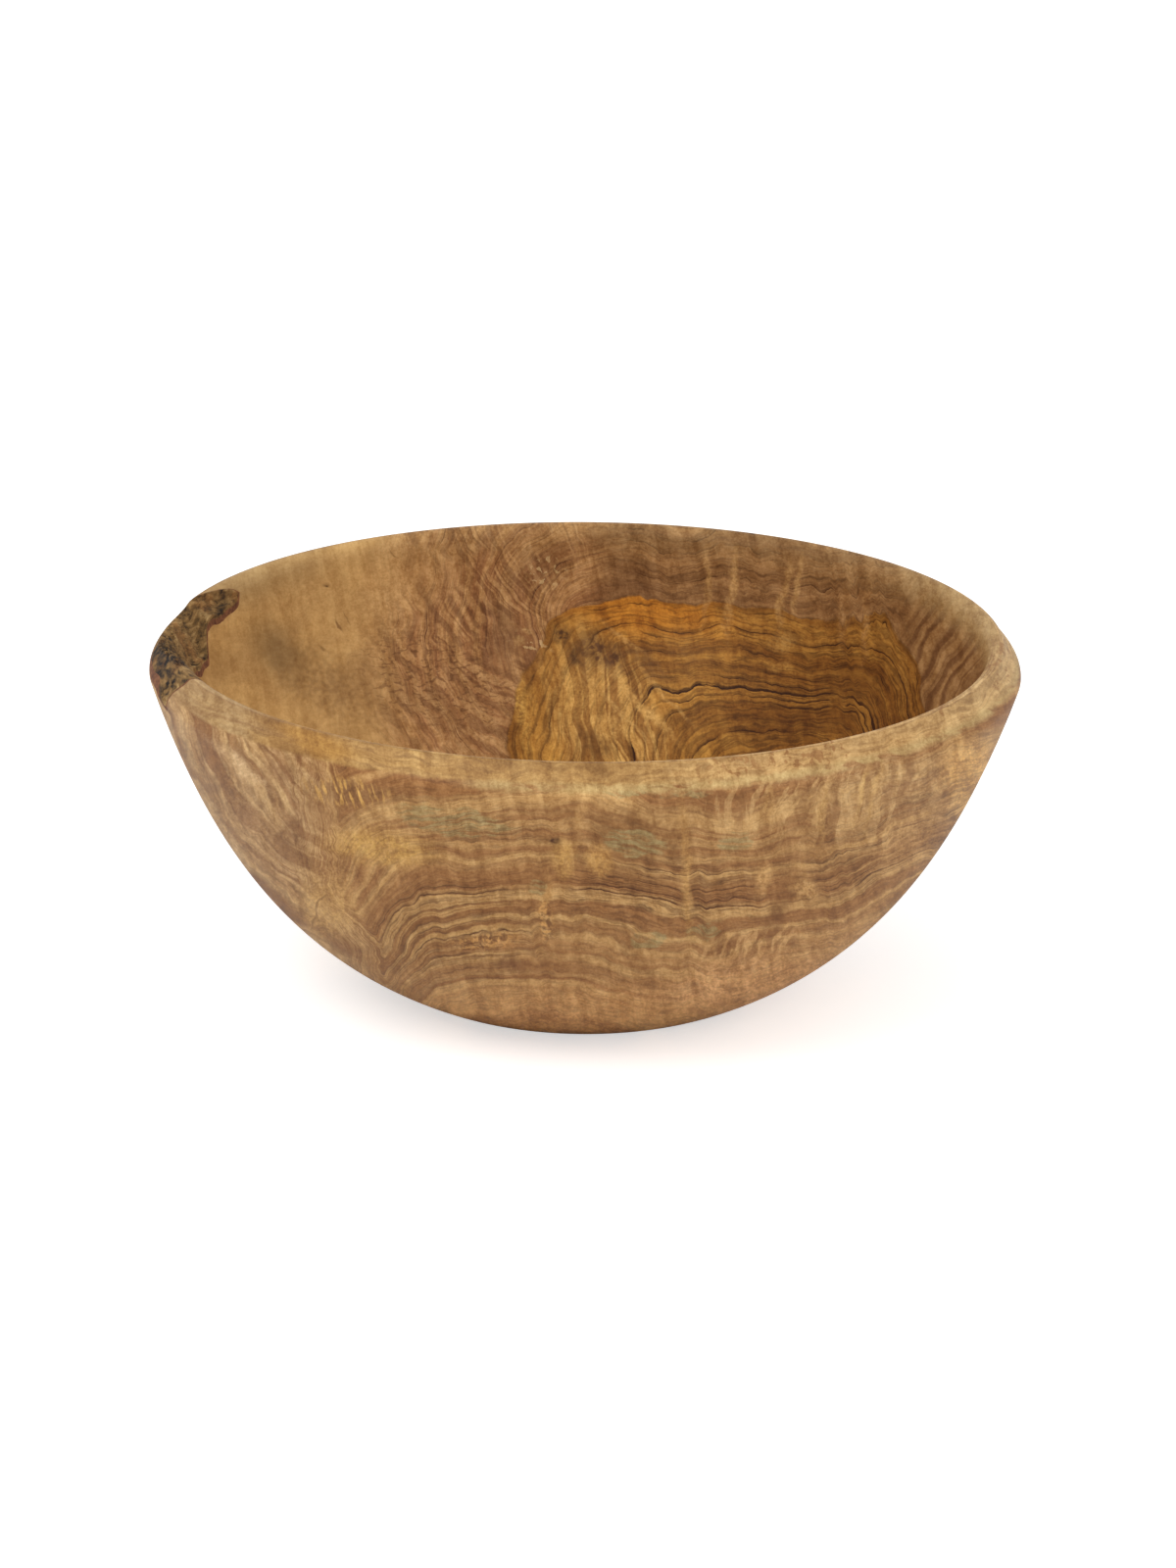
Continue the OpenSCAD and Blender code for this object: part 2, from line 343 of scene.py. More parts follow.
class Finish:
    """A material and the nodes that it is mixed from."""

    def __init__(self, name):
        self.material = bpy.data.materials.new(name)
        self.material.use_nodes = True
        self.nodes = self.material.node_tree.nodes
        self.links = self.material.node_tree.links
        self.shader = self.nodes["Principled BSDF"]

    def node(self, kind, settings=None, values=None, output=0):
        """Makes a node, sets it, then fills its sockets with values or links."""
        node = self.nodes.new(kind)
        for name, value in (settings or {}).items():
            if name == "points":
                curve = node.mapping.curves[0]
                curve.points[0].location, curve.points[1].location = value[0], value[-1]
                for point in value[1:-1]:
                    curve.points.new(*point)
                node.mapping.update()
            elif name == "stops":
                stops = node.color_ramp.elements
                stops[0].position, stops[1].position = value[0][0], value[-1][0]
                stops[0].color, stops[1].color = (*value[0][1], 1), (*value[-1][1], 1)
                for place, colour in value[1:-1]:
                    stops.new(place).color = (*colour, 1)
            else:
                setattr(node, name, value)
        for name, value in (values or {}).items():
            self.fill(node.inputs[name], value)
        return Number(self, node.outputs[output])

    def fill(self, socket, value):
        """Links a socket to a number, or sets it to a plain value."""
        if isinstance(value, Number):
            self.links.new(value.socket, socket)
        elif isinstance(value, (tuple, Vector)) and socket.type == "RGBA":
            socket.default_value = (*value, 1)
        else:
            socket.default_value = value

    def vector(self, operation, first, second=(0, 0, 0), output=0):
        """Vector Math on two places or colours."""
        return self.node(
            "ShaderNodeVectorMath", {"operation": operation}, {0: first, 1: second}, output)

    def dot(self, place, direction):
        """How far a place lies along a direction."""
        return self.vector("DOT_PRODUCT", place, direction, 1)

    def length(self, place):
        """How far a place lies from the origin."""
        return self.vector("LENGTH", place, output=1)

    def point(self, right, up, along=0.0):
        """A place from its three measures."""
        return self.node("ShaderNodeCombineXYZ", values={0: right, 1: up, 2: along})

    def spot(self):
        """The place on the piece, in millimetres."""
        spot = self.vector("SCALE", self.node("ShaderNodeTexCoord", output=3))
        self.fill(spot.socket.node.inputs["Scale"], 1 / mm)
        return spot

    def noise(self, place, size, detail=2.0, rough=0.5, output=0):
        """Smooth noise round 0.5, whose humps are about this size."""
        return self.node("ShaderNodeTexNoise", None, {
            "Vector": place, "Scale": 1 / size, "Detail": detail, "Roughness": rough}, output)

    def run(self, value, size, detail=1.0):
        """Noise along one number only, so that it makes stripes."""
        return self.node("ShaderNodeTexNoise", {"noise_dimensions": "1D"}, {
            "W": value, "Scale": 1 / size, "Detail": detail})

    def mix(self, share, first, second):
        """The first colour where share is 0, the second where it is 1."""
        return self.node("ShaderNodeMix", {"data_type": "RGBA"}, {
            0: share, 6: first, 7: second}, 2)

    def coat(self, colour, roughness, gloss):
        """Sets the colour, the roughness and how strongly the surface shines."""
        self.fill(self.shader.inputs["Base Color"], colour)
        self.fill(self.shader.inputs["Roughness"], roughness)
        self.fill(self.shader.inputs["Specular IOR Level"], gloss)


def dye(red, green, blue):
    """A colour as a paint chart gives it, 0 to 255, made linear for the shader."""
    return tuple(((part / 255 + 0.055) / 1.055) ** 2.4 for part in (red, green, blue))


class Wood(Finish):
    """Olive wood: the face of the log, and the marks that are drawn on it."""

    def __init__(self, name):
        super().__init__(name)
        self.solid = self.spot()
        off = self.vector("SUBTRACT", self.solid, face_centre)
        sine, cosine = math.sin(log_tilt), math.cos(log_tilt)
        depth = self.dot(off, Vector((0, cosine, -sine))) + log_taper
        right = self.dot(off, Vector((1, log_roll * sine, log_roll * cosine)))
        up = self.dot(off, Vector((-log_roll, sine, cosine)))
        taper = log_taper / depth
        self.right, self.up, self.depth = right * taper, up * taper, depth
        self.face = self.point(self.right, self.up, depth * 0.25)

    def drifted(self, *swirls):
        """The face with every point moved aside by swirls, each with a size and a reach."""
        place = self.face
        for size, reach in swirls:
            drift = self.noise(self.face, size, 1.0, output=1)
            drift = self.vector("SUBTRACT", drift, (0.5, 0.5, 0.5))
            drift = self.vector("MULTIPLY", drift, (reach * 2, reach * 2, 0))
            place = self.vector("ADD", place, drift)
        return place

    def split(self, place):
        """How far right and how far up a place is."""
        parts = self.node("ShaderNodeSeparateXYZ", values={0: place})
        return parts, Number(self, parts.socket.node.outputs[1])

    def patch(self, place, right, up, wide, high, turn=0, edge=0.3):
        """An oval mark on the face: 1 inside, falling softly to 0 at its edge."""
        lean = math.radians(turn)
        along = Vector((math.cos(lean), math.sin(lean), 0)) / wide
        across = Vector((-math.sin(lean), math.cos(lean), 0)) / high
        middle = Vector((right, up, 0))
        local = self.point(self.dot(place, along), self.dot(place, across))
        middle = Vector((along.dot(middle), across.dot(middle), 0))
        return self.vector("DISTANCE", local, middle, 1).rise(1, edge)

    def patches(self, place, *ovals):
        """Several oval marks as one: the strongest where they overlap."""
        share = self.patch(place, *ovals[0])
        for oval in ovals[1:]:
            share = share.larger(self.patch(place, *oval))
        return share

    def curl(self, size):
        """Kinks that every line makes at the same place across the log, from -1 to 1."""
        return self.run(self.right + 0.2 * self.up, size, 2.0) * 2 - 1

    def rings(self, level, spacing, sharp):
        """Growth lines along a level: each starts dark and fades, and no two are alike."""
        count = level / spacing + self.run(level, spacing * 3.1) * 1.8
        ring = count.math("FLOOR")
        strength = self.node("ShaderNodeTexWhiteNoise", {"noise_dimensions": "1D"}, {"W": ring})
        return (1 - (count - ring)) ** sharp * strength

    def figure(self, colour, level, dark, spacing, strength):
        """Growth lines in crowds over a colour: strong and fine ones, and fibres between."""
        broken = self.noise(self.face, 9, 3.0).rise(0.35, 0.6)
        level = level + 0.3 * self.noise(self.face, 2.0, 2.0)
        crowd = self.run(level + 2 * broken, spacing * 3.2, 1.0).rise(0.42, 0.6)
        strong = self.rings(level, spacing, 6.0) * (0.2 + 0.8 * broken) * (0.25 + 0.9 * crowd)
        fine = self.rings(level, spacing * 0.34, 2.0) * (0.4 + 0.6 * crowd)
        lines = (strong * 2.5 + fine * 0.75) * strength
        fibre = self.noise(self.point(level * 1.3, self.right * 0.12, self.up * 0.12), 1.0, 2.0)
        colour = self.mix((0.2 + 0.22 * strength) * fibre.rise(0.46, 0.62), colour, dark)
        return self.mix(lines.held(0, 1), colour, dark)

    def stains(self, colour, place, edge, stains):
        """Soft even areas: place, width, height, turn, share and colour."""
        for right, up, wide, high, turn, share, tint in stains:
            share = self.patch(place, right, up, wide, high, turn, edge) * share
            colour = self.mix(share, colour, tint)
        return colour

    def combed(self, colour, where, pattern, *combs):
        """Stripes in an area: for each comb, where the pattern rises, a share and a colour."""
        for low, high, share, tint in combs:
            colour = self.mix(where * pattern.rise(low, high) * share, colour, tint)
        return colour

    def marks(self, colour, place, marks):
        """Knots, stains, pale spots and some painted light: place, width, height, turn, share and
        colour.
        """
        broken = 0.6 + 0.6 * self.noise(self.face, 1.6, 3.0).rise(0.4, 0.6)
        for right, up, wide, high, turn, share, tint in marks:
            share = self.patch(place, right, up, wide, high, turn, 0.25) * broken * share
            colour = self.mix(share.held(0, 1), colour, tint)
        return colour

    def silk(self, colour, place, level, patches):
        """Greenish patches where the grain turns to the surface and shines."""
        thread = self.noise(self.point(self.right * 0.12, level), 1.3, 3.0).rise(0.42, 0.56)
        ragged = 0.8 * self.noise(self.point(self.right * 0.4, self.up), 2.0, 3.0) - 0.4
        for right, up, wide, high, turn in patches:
            share = (self.patch(place, right, up, wide, high, turn, 0.2) + ragged).rise(0.3, 0.6)
            colour = self.mix(share * (0.1 + 0.6 * thread), colour, dye(162, 141, 99))
        return colour

    def ribbons(self, colour, share, blue):
        """Upright light and dark ribbons where the fibres wave, over a fine mottle."""
        lean = self.right + 0.2 * self.up
        place = self.point(lean, self.up * 0.12, self.depth * 0.1)
        ribbon = self.noise(place, 4.0, 3.0, 0.65).rise(0.4, 0.6)
        mottle = self.noise(self.face, 3.0, 5.0, 0.8).rise(0.38, 0.62)
        grain = self.noise(self.face, 0.8, 3.0).rise(0.35, 0.65)
        block = self.noise(self.point(lean, self.up * 0.4), 8.0, 3.0).rise(0.47, 0.53)
        wave = 0.22 * (ribbon - 0.5) + 0.3 * (mottle - 0.5)
        light = 1 + share * (wave + 0.16 * (grain - 0.5) + 0.14 * (block - 0.5))
        light = self.point(light, light ** 1.3 * 0.985, light ** 1.7 * blue)
        return self.vector("MULTIPLY", colour, light)

    def rim(self, ragged):
        """The sanded rim: pale wood whose streaks run along it, peppered at the right."""
        out = self.length(self.vector("MULTIPLY", self.solid, (1, 1, 0.6)))
        level = out * 1.4 + 5 * self.noise(self.face, 16, 2.0)
        cloud = self.noise(ragged, 14, 3.0).rise(0.35, 0.65)
        wood = self.mix(cloud, dye(190, 148, 94), dye(168, 126, 76))
        wood = self.mix(self.right.rise(0, 60) * 0.6, wood, dye(204, 163, 114))
        wood = self.mix(self.right.rise(110, 140) * 0.5, wood, dye(210, 174, 126))
        wood = self.figure(wood, level, dye(116, 78, 42), 3.4, 0.65)
        left, band = self.right.rise(-70, -100), self.run(level, 5.0, 2.0)
        wood = self.mix(self.right.rise(-108, -124) * 0.5, wood, dye(190, 160, 122))
        wood = self.combed(wood, left, band, (0.45, 0.6, 0.6, dye(146, 106, 68)))
        wood = self.stains(wood, ragged, 0.3, ((-94, 14, 20, 6, -20, 0.6, dye(180, 130, 62)),))
        peppered = self.noise(ragged, 16, 1.0).rise(0.46, 0.56) * self.right.rise(20, 60)
        pepper = self.noise(ragged, 2.4, 1.0)
        return self.combed(wood, peppered, pepper, (0.55, 0.6, 0.62, dye(142, 92, 50)))

    def oiled(self, colour, gloss):
        """Oiled and rubbed: a low sheen that follows the grain a little."""
        self.coat(colour, 0.44 + 0.16 * self.noise(self.face, 3.0, 3.0), gloss)


def dress(piece, *finishes):
    """Gives a piece its finishes."""
    piece.data.materials.clear()
    for finish in finishes:
        piece.data.materials.append(finish.material)


# The cavity shows the heart of the log: a golden heartwood with strong dark lines
# that arch over to the right, a burl with reddish arcs left of it, and plain tan
# wood with a grey cloud at the far left.
inside = Wood("olive_inside")
face = inside.drifted((34, 6), (11, 2.2), (4, 0.6))
ragged = inside.drifted((12, 2.6), (4, 1.2))
right, up = inside.split(face)
rough_right, rough_up = inside.split(ragged)
curl = inside.curl(5.5)
heart_top = inside.node("ShaderNodeFloatCurve", {"points": [
    (0.0, 0.60), (0.20, 0.66), (0.30, 0.665), (0.46, 0.605),
    (0.65, 0.61), (0.80, 0.575), (0.9, 0.575), (1.0, 0.54)]},
    {"Value": (rough_right + 30) / 150}) * 100
hump = right.hill(98, 18) + right.hill(48, 20) * 2
kinks = curl * (0.5 + 2.0 * right.rise(78, 92))
over = ((up - hump + kinks + 10) / (heart_top + 10)).larger(0)
beside = ((75 - right) / 102).larger((right - 75) / 44).larger(0)
heart_level = (over ** 5 + beside ** 5) ** 0.2
heart = inside.depth.rise(1800, 1710).between(
    heart_level.rise(1.007, 0.993), heart_level.rise(1.4, 0.7))
arches = heart_level * 68 + 0.9 * inside.noise(inside.face, 4.0, 2.0)

# The golden heartwood: sombre to the right, orange at the top, upright lines at the left.
sombre = inside.patch(face, 88, 20, 60, 46, 0, 0.35)
band = inside.run(arches, 7.0, 2.0).rise(0.35, 0.65)
gold = inside.mix(band, dye(192, 136, 62), dye(148, 98, 42))
gold = inside.mix(sombre * 0.68, gold, dye(120, 71, 20))
gold = inside.stains(gold, ragged, 0.2, ((20, 60, 42, 14, -8, 0.75, dye(192, 120, 36)),))
left_limb = inside.patch(ragged, 6, 22, 24, 42, 22, 0.45)
band = inside.run(right + 0.2 * up, 3.6, 2.0).rise(0.44, 0.56)
band = inside.mix(band, dye(216, 166, 96), dye(156, 108, 56))
gold = inside.mix(left_limb * 0.85, gold, band)
strength = (0.85 + 0.6 * sombre) * (1 - 0.35 * left_limb)
gold = inside.figure(gold, arches, dye(58, 29, 8), 2.9, strength)
gold = inside.marks(gold, ragged, (
    (-9, 52, 4, 5, 0, 0.85, dye(84, 54, 30)), (-4, 45, 7, 5, -20, 0.7, dye(90, 60, 36)),
    (5, 46, 14, 7, -32, 0.85, dye(96, 62, 38)), (20, 42, 12, 4, -40, 0.5, dye(116, 78, 44)),
    (-1, 40, 3, 9, -15, 0.5, dye(110, 72, 38)), (2, 14, 9, 6, -35, 0.6, dye(110, 72, 36)),
    (18, 28, 22, 2.6, -48, 0.7, dye(214, 166, 98)), (8, 20, 8, 6, -48, 0.5, dye(212, 164, 96)),
    (9, 27, 24, 1.6, -48, 0.5, dye(206, 160, 96)), (27, 30, 18, 1.4, -48, 0.45, dye(204, 156, 92)),
    (13, 50, 14, 1.4, -40, 0.5, dye(196, 146, 84)), (68, 49, 7, 5, 0, 0.5, dye(180, 134, 74)),
    (66, 41, 6, 2.5, -5, 0.5, dye(186, 136, 70)), (34, 48, 16, 8, -8, 0.3, dye(112, 76, 44)),
    (92, 36, 16, 11, 0, 0.3, dye(82, 44, 12)), (68, 20, 34, 8, 8, 0.3, dye(78, 40, 10)),
    (-23, 28, 4, 24, 8, 0.5, dye(212, 160, 82)), (-6, 30, 10, 14, 0, 0.35, dye(206, 156, 86)),
))

# The red-brown wood above the heart, whose lines lean over at the far right.
red_level = heart_level * 62
band = inside.run(red_level, 6.0, 2.0).rise(0.35, 0.65)
red = inside.mix(band, dye(163, 119, 77), dye(136, 95, 58))
red = inside.figure(red, red_level + kinks, dye(76, 44, 22), 2.3, 0.75)
red = inside.stains(red, ragged, 0.2, ((14, 68, 16, 14, 0, 0.5, dye(112, 74, 46)),))
band = inside.run(0.86 * right - 0.5 * up, 3.0, 3.0).rise(0.36, 0.64)
side = inside.mix(band, dye(160, 118, 76), dye(112, 74, 44))
red = inside.mix(rough_right.rise(104, 118), red, side)

# The burl: arcs round its eye, crossed by spokes.
burl_level = inside.length(inside.point(right - 4, up * 0.92 - 52))
band = inside.run(burl_level, 6.0, 3.0).rise(0.38, 0.62)
burl = inside.mix(band, dye(190, 142, 94), dye(160, 110, 70))
burl = inside.figure(burl, burl_level, dye(84, 46, 28), 1.7, 0.6)
spokes = inside.run((right - 4).math("ARCTAN2", up - 50) + 0.02 * right, 0.09, 2.0)
spread = burl_level.rise(12, 30) * inside.noise(ragged, 11, 2.0).rise(0.4, 0.52)
burl = inside.combed(
    burl, spread, spokes,
    (0.5, 0.56, 0.4, dye(202, 156, 106)), (0.48, 0.43, 0.45, dye(104, 66, 40)))
burl = inside.stains(burl, ragged, 0.2, (
    (-51, 72, 16, 12, 10, 0.12, dye(112, 72, 44)), (-64, 74, 26, 18, 10, 0.55, dye(202, 156, 104)),
    (-18, 74, 20, 12, 30, 0.35, dye(96, 62, 40)), (-30, 52, 9, 14, -20, 0.45, dye(100, 66, 46)),
))
burl = inside.stains(burl, face, 0.2, ((-34, 26, 34, 26, 0, 0.3, dye(138, 96, 60)),))

# The whole cavity: tan, burl, red-brown and gold, then the marks over them.
cloud = inside.noise(ragged, 18, 4.0).rise(0.35, 0.65)
tan = inside.mix(cloud, dye(206, 162, 106), dye(184, 142, 92))
wood = inside.mix(right.rise(-60, -84), burl, tan)
wood = inside.mix(right.rise(-6, 14), wood, red)
wood = inside.mix(heart, wood, gold)
wood = inside.stains(wood, ragged, 0.1, ((-108, 46, 20, 11, -50, 0.62, dye(108, 82, 54)),))
wood = inside.marks(wood, ragged, (
    (-96, 40, 26, 16, -30, 0.38, dye(124, 90, 56)), (-24, 46, 12, 15, 0, 0.4, dye(112, 72, 46)),
    (-32, 60, 8, 5, -30, 0.4, dye(104, 68, 44)), (-60, 30, 30, 8, -35, 0.3, dye(118, 82, 48)),
    (-84, 28, 30, 14, -25, 0.4, dye(132, 94, 58)), (-98, 66, 24, 12, 20, 0.3, dye(212, 168, 112)),
    (-70, 62, 14, 20, 0, 0.3, dye(212, 168, 114)),
    (-90.4, 68.8, 2.2, 1.7, 0, 0.85, dye(92, 62, 36)),
    (-90.4, 69.6, 1.8, 1.3, 0, 0.9, dye(178, 134, 86)),
    (-85, 58, 3.2, 0.5, -55, 0.6, dye(116, 78, 44)),
    (-87, 55, 3.6, 0.5, -60, 0.6, dye(116, 78, 44)),
    (-67, 80, 2.6, 0.5, -50, 0.5, dye(120, 82, 46)), (-92, 47, 3, 0.6, -30, 0.5, dye(120, 82, 46)),
    (-24, 49, 3.5, 2.5, 0, 0.5, dye(196, 156, 104)), (-20, 53, 2.5, 2, 0, 0.5, dye(190, 150, 100)),
    (41, 70, 1.8, 20, -4, 0.4, dye(196, 150, 94)), (50, 68, 2.4, 22, -6, 0.45, dye(196, 150, 94)),
    (68, 66, 2.2, 18, -10, 0.45, dye(196, 150, 94)), (73, 70, 1.6, 16, -12, 0.4, dye(196, 150, 94)),
    (90, 62, 3, 20, -4, 0.35, dye(178, 132, 84)), (97, 60, 1.8, 22, -4, 0.35, dye(178, 132, 84)),
))
glint = inside.patches(ragged, (-20, 48, 10, 6, -10, 0.3), (-14, 74, 9, 9, 20, 0.3))
spark = inside.noise(ragged, 2.0, 2.0)
wood = inside.combed(wood, glint, spark, (0.56, 0.6, 0.7, dye(206, 172, 126)))
flecked = inside.patch(ragged, -50, 34, 44, 24, -20, 0.3)
ticks = inside.noise(inside.point(rough_right * 0.6, rough_up * 1.4), 1.6, 2.0)
wood = inside.combed(wood, flecked, ticks, (0.54, 0.62, 0.7, dye(108, 70, 42)))

# Towards the lip both sides turn paler, and the rim's wood begins.
height = inside.node("ShaderNodeSeparateXYZ", values={0: inside.solid}, output=2)
sides = rough_right.rise(95, 128).larger(right.rise(-80, -120))
# The paler band at both sides is partly the rim's paler wood and partly a painted highlight where
# the rounded lip turns up to the light.
edge = (height + 3 * inside.noise(ragged, 8.0)).rise(111, 123) * (0.3 + 0.7 * sides)
wood = inside.mix(edge * 0.85, wood, dye(176, 142, 98))
lip_wood = (height + 1.5 * inside.noise(ragged, 9.0)).rise(121.5, 123.5)
wood = inside.mix(lip_wood * inside.depth.rise(1800, 1740), wood, inside.rim(ragged))
wood = inside.ribbons(wood, 0.95 - 0.4 * right.rise(-52, -84), 0.87)
inside.oiled(wood, 0.12)

# The rim and the outside show the sapwood: paler, with lines that run level round
# the bowl, arch over at the lower left, and sweep up at the right.
outside = Wood("olive_outside")
face = outside.drifted((40, 8), (13, 2.0), (5, 0.9))
ragged = outside.drifted((12, 2.6), (4, 1.2))
right, up = outside.split(face)
rough_right, rough_up = outside.split(ragged)
curl = outside.curl(6.5)
haunch = ((-37 - right) / 0.68).larger(0)
arch = ((up + 100) ** 3 + haunch ** 3) ** (1 / 3) - 100
sweep = outside.node("ShaderNodeFloatCurve", {"points": [
    (0.0, 0.40), (0.06, 0.36), (0.22, 0.20), (0.29, 0.17),
    (0.45, 0.22), (0.70, 0.42), (0.9, 0.66), (1.0, 0.80)]},
    {"Value": (right + 2) / 130}) * 40 - 16
flow = rough_right.rise(-3, 3).between(arch, up - sweep)
kinked = right.hill(82, 16) + right.hill(-14, 12) + 0.25 * right.hill(-50, 26)
kinked = kinked * outside.depth.rise(1850, 1790)
flow = flow + curl * (0.3 + 2.0 * kinked) - 1.6 * right.hill(34.5, 5)
skirt = outside.length(outside.point(right, up - 66)) * -0.8
left_side = (rough_right + 94 - 16 * up.rise(-35, -60)).rise(8, -8)
flow = left_side.between(flow, skirt)
flow = flow + 0.8 * outside.noise(outside.face, 4.0, 2.0)

# The ground colours: broad bands along the lines, and folds at the left.
band = outside.run(flow, 9.0, 2.0).rise(0.42, 0.58)
skin = outside.mix(band, dye(194, 150, 100), dye(158, 110, 68))
band = outside.run(skirt + 0.15 * up, 6.0, 3.0).rise(0.43, 0.57)
fold = outside.mix(band, dye(208, 170, 126), dye(142, 100, 66))
skin = outside.mix(left_side * 0.65, skin, fold)
band = outside.run(flow + 50, 3.6, 1.0).rise(0.52, 0.58)
skin = outside.mix(band * 0.4, skin, dye(140, 92, 54))
skin = outside.marks(skin, ragged, (
    (-72, -22, 26, 9, -5, 0.75, dye(204, 158, 92)), (-60, -52, 40, 22, 10, 0.2, dye(140, 98, 58)),
    # Painted light on the next line: a pale band along the bottom and a pale patch at the lower
    # right stand in for light thrown up from the floor onto the wall that faces down.
    (-10, -80, 80, 14, 0, 0.6, dye(206, 152, 100)), (95, -68, 60, 28, 25, 0.75, dye(208, 160, 112)),
    (104, -2, 40, 26, 0, 0.45, dye(194, 154, 110)), (-104, -20, 12, 12, 0, 0.5, dye(156, 114, 76)),
    (-116, -12, 16, 26, 30, 0.4, dye(184, 146, 106)), (75, -36, 9, 8, 0, 0.5, dye(150, 108, 64)),
    (100, -24, 34, 14, 35, 0.35, dye(150, 108, 66)), (6, -10, 50, 6, -6, 0.4, dye(150, 104, 62)),
    (-14, -61, 18, 9, 0, 0.45, dye(144, 94, 54)), (133, 2, 16, 18, 0, 0.8, dye(220, 168, 102)),
    (54, -70, 42, 13, 8, 0.8, dye(212, 160, 112)), (18, -18, 24, 11, -8, 0.75, dye(126, 84, 46)),
    (12, -30, 26, 12, -12, 0.4, dye(146, 102, 60)), (-90, -10, 14, 8, -20, 0.45, dye(150, 106, 66)),
))
lively = outside.patches(
    ragged, (-46, -51, 38, 22, 0, 0.4), (26, -38, 50, 17, 0, 0.4), (104, -18, 48, 20, 28, 0.4))
lively = lively.larger(0.6 * outside.patch(ragged, -32, -15, 32, 10, 0, 0.3))
skin = outside.silk(skin, ragged, flow, (
    (-45, -13, 34, 8, -9), (16, -20, 17, 8, -8), (51, -20, 9, 6, 0), (-18, -36, 5, 4, 0),
    (21, -54, 9, 5, 0), (40, -52, 10, 4, 5), (24, -3, 30, 2.5, -2)))
skin = outside.figure(skin, flow, dye(74, 38, 18), 3.0, 0.14 + 0.9 * lively)
swept = outside.patches(ragged, (104, -16, 46, 14, 28, 0.3), (-46, -50, 36, 20, 0, 0.3))
streak = outside.run(flow + 20, 2.6, 2.0)
skin = outside.combed(
    skin, swept, streak,
    (0.51, 0.57, 0.5, dye(132, 86, 46)), (0.47, 0.41, 0.45, dye(214, 168, 110)))
teeth = outside.patch(ragged, -84, -3, 19, 6.5, -8, 0.3)
skin = outside.mix(teeth * 0.6, skin, dye(132, 92, 56))
upright = outside.point(outside.right + 0.3 * outside.up, outside.up * 0.2)
upright = outside.noise(upright, 1.5, 2.0)
skin = outside.combed(skin, teeth, upright, (0.48, 0.58, 0.9, dye(214, 164, 94)))
skin = outside.marks(skin, ragged, (
    (-10.9, -20.4, 2.4, 1.7, 10, 1.0, dye(66, 32, 20)), (-11, -24, 2, 4, 0, 0.6, dye(116, 72, 42)),
    (-2, -8, 3, 14, -8, 0.35, dye(204, 158, 104)), (-15, -40, 2.6, 12, -10, 0.4, dye(204, 154, 96)),
    # The first mark on the next line is partly pale golden wood and partly a painted sheen.
    (-91, -42, 15, 16, 35, 0.55, dye(206, 162, 104)), (-8, -26, 6, 9, 0, 0.5, dye(212, 164, 96)),
    (76, -37, 8, 5, 0, 0.7, dye(206, 160, 108)), (112, -20, 22, 14, 35, 0.35, dye(206, 158, 106)),
    (4, -26, 6, 8, 20, 0.6, dye(212, 162, 98)), (-16, -34, 12, 5, 0, 0.3, dye(140, 94, 52)),
    (66, -46, 4.5, 11, -25, 0.5, dye(122, 78, 44)), (61, -34, 4, 9, -15, 0.45, dye(216, 168, 112)),
    (34, -30, 2.4, 36, 3, 0.4, dye(206, 158, 98)), (-26, -62, 9, 3, -8, 0.5, dye(116, 72, 44)),
    (-30, -56, 5, 2.5, 0, 0.5, dye(196, 142, 90)), (54, -8, 3, 9, 0, 0.4, dye(150, 106, 66)),
    (63, -6, 3, 12, -8, 0.45, dye(206, 160, 104)), (82, -10, 2, 16, -8, 0.5, dye(208, 164, 106)),
    (86, -10, 1.6, 14, -8, 0.45, dye(136, 92, 54)),
    (95, -4, 1.4, 18, -12, 0.55, dye(214, 170, 110)), (-130, 0, 5, 8, -15, 0.5, dye(132, 94, 62)),
    (-119, -11, 7, 5, -25, 0.45, dye(136, 94, 62)), (-103, -17, 6, 14, -12, 0.45, dye(122, 80, 50)),
    (-107, 5, 8, 9, -35, 0.45, dye(138, 94, 58)), (-121, 6, 20, 3, -42, 0.55, dye(212, 174, 134)),
    (-126, -16, 16, 2.4, -62, 0.45, dye(206, 168, 128)),
    (-94, -44, 0.8, 10, -22, 0.6, dye(116, 76, 44)),
    (-101, -37, 7, 0.8, -40, 0.55, dye(122, 82, 48)),
    (99, -4, 1.2, 18, -12, 0.55, dye(214, 170, 110)),
    (110, 2, 2.4, 16, -16, 0.45, dye(140, 96, 58)),
))
bubbly = outside.patches(ragged, (-36, -55, 15, 4, 5, 0.3), (-15, -48, 4, 10, 0, 0.3))
bubble = outside.noise(ragged, 1.6, 1.0)
skin = outside.combed(
    skin, bubbly, bubble, (0.52, 0.58, 0.7, dye(206, 152, 92)), (0.44, 0.38, 0.6, dye(96, 56, 30)))
rib = outside.noise(outside.point(right - 0.3 * up, up * 0.16), 4.6, 3.0, 0.6)
ribbed = outside.patch(ragged, 82, -4, 62, 24, 0, 0.4)
skin = outside.combed(
    skin, ribbed, rib, (0.52, 0.56, 0.4, dye(212, 170, 120)), (0.48, 0.43, 0.4, dye(142, 98, 60)))
slant = outside.noise(outside.point(right - 0.6 * up, up * 0.35), 2.6, 2.0)
flecked = outside.patch(ragged, 56, -56, 26, 8, 12, 0.3)
skin = outside.combed(
    skin, flecked, slant,
    (0.51, 0.56, 0.5, dye(214, 168, 118)), (0.48, 0.43, 0.45, dye(132, 86, 52)))

# The rim from the shoulder line up, and under it a painted highlight: a pale band along the
# shoulder crease.
height = outside.node("ShaderNodeSeparateXYZ", values={0: outside.solid}, output=2)
rim = (height + 1.2 * outside.noise(ragged, 9.0)).rise(117.0, 118.6)
highlight_breakup = outside.noise(outside.point(rough_right * 0.3, rough_up), 4.0, 3.0).rise(0.35, 0.5)
